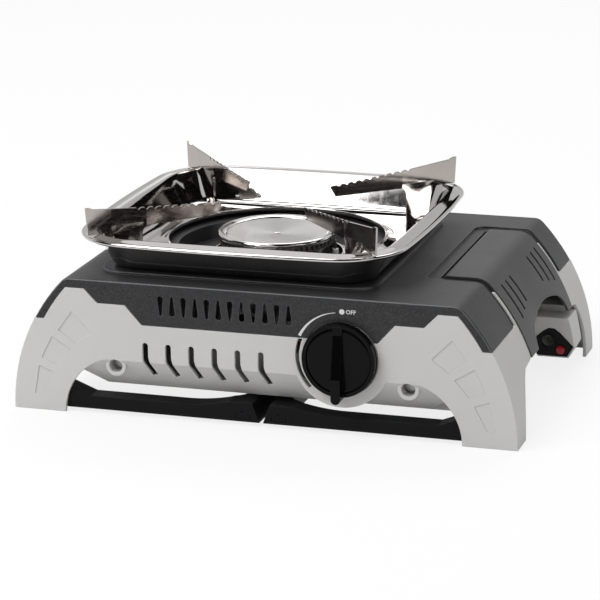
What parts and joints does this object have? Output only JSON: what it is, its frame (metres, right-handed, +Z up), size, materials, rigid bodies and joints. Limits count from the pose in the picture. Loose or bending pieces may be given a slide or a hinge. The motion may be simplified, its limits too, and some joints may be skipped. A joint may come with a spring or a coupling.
{
  "type": "butane cassette stove",
  "caption": "Portable single-burner gas stove with a dark folded-steel top, pale legged housing, drip tray with pot supports, hinged cartridge lid, control knob and folding legs.",
  "frame": {"origin": "middle of the stove's footprint at the floor", "axes": "+Z up, -Y is the front with the knob, +X is the side with the cartridge lid"},
  "size_m": [0.388, 0.272, 0.1538],
  "materials": {
    "shell_paint": "satin dark grey paint with fine metallic grain",
    "lid_paint": "satin dark grey paint",
    "housing_plastic": "fine textured pale grey plastic",
    "inlet_plastic": "fine textured pale grey plastic",
    "inlet_black": "black plastic",
    "port_black": "black plastic",
    "button_red": "glossy red plastic",
    "tray_steel": "polished stainless sheet",
    "cap_steel": "turned and brushed steel",
    "ring_alloy": "heat-dulled alloy",
    "base_alloy": "die-cast alloy",
    "guard_steel": "thin bright steel",
    "tube_steel": "drawn steel",
    "bracket_steel": "zinc-plated sheet",
    "insulator": "white ceramic",
    "wire_steel": "steel wire",
    "valve_alloy": "die-cast alloy",
    "regulator_alloy": "die-cast alloy",
    "magnet_black": "black magnet and seal",
    "pipe_copper": "copper pipe",
    "nozzle_brass": "turned brass",
    "cradle_steel": "zinc-plated sheet",
    "shield_steel": "zinc-plated sheet",
    "pin_steel": "steel pins",
    "screw_steel": "dark zinc-plated screws",
    "shaft_brass": "turned brass",
    "knob_black": "glossy black plastic",
    "leg_black": "black satin plastic",
    "support_steel": "polished stainless sheet"
  },
  "bodies": {
    "stove": {"top_shell": "shell_paint", "lower_housing": "housing_plastic", "lid_hinge_pins": "pin_steel", "burner_cap": "cap_steel", "burner_ring": "ring_alloy", "burner_base": "base_alloy", "guard_ring": "guard_steel", "mixing_tube": "tube_steel", "burner_bracket": "bracket_steel", "igniter_insulator": "insulator", "igniter_wire": "wire_steel", "gas_valve": "valve_alloy", "pressure_regulator": "regulator_alloy", "magnet_ring": "magnet_black", "supply_pipe": "pipe_copper", "burner_pipe": "pipe_copper", "gas_nozzle": "nozzle_brass", "canister_cradle": "cradle_steel", "heat_shield": "shield_steel", "leg_hinge_pins": "pin_steel", "gas_inlet_housing": "inlet_plastic", "gas_inlet_plate": "inlet_black", "gas_inlet_port": "port_black", "case_screws": "screw_steel"},
    "lid": {"canister_lid": "lid_paint"},
    "tray": {"drip_tray": "tray_steel", "pot_support_rear_right": "support_steel", "pot_support_rear_left": "support_steel", "pot_support_front_left": "support_steel", "pot_support_front_right": "support_steel"},
    "valve_stem": {"knob_shaft": "shaft_brass"},
    "knob": {"control_knob": "knob_black"},
    "leg_right": {"leg_frame_right": "leg_black"},
    "leg_left": {"leg_frame_left": "leg_black"},
    "inlet_button": {"release_button": "button_red"}
  },
  "joints": [
    {"name": "lid_open", "type": "hinge", "parent": "stove", "child": "lid", "pos_m": [0.123, 0.0215, 0.1003], "axis": [0, -1, 0], "range_deg": [0, 95]},
    {"name": "tray_lift", "type": "slide", "parent": "stove", "child": "tray", "axis": [0, 0, 1], "range_m": [0, 0.06]},
    {"name": "knob_turn", "type": "hinge", "parent": "stove", "child": "valve_stem", "pos_m": [0.0626, -0.117, 0.0587], "axis": [0, -1, 0], "range_deg": [0, 100]},
    {"name": "knob_push", "type": "slide", "parent": "valve_stem", "child": "knob", "axis": [0, 1, 0], "range_m": [0, 0.003], "stiffness_N_per_m": 800, "springref_m": -0.002},
    {"name": "leg_right_fold", "type": "hinge", "parent": "stove", "child": "leg_right", "pos_m": [0.16, 0.0075, 0.009], "axis": [0, -1, 0], "range_deg": [0, 90]},
    {"name": "leg_left_fold", "type": "hinge", "parent": "stove", "child": "leg_left", "pos_m": [-0.16, 0.0075, 0.009], "axis": [0, 1, 0], "range_deg": [0, 90]},
    {"name": "button_press", "type": "slide", "parent": "stove", "child": "inlet_button", "axis": [0, 1, 0], "range_m": [0, 0.001], "stiffness_N_per_m": 900, "springref_m": -0.001}
  ]
}
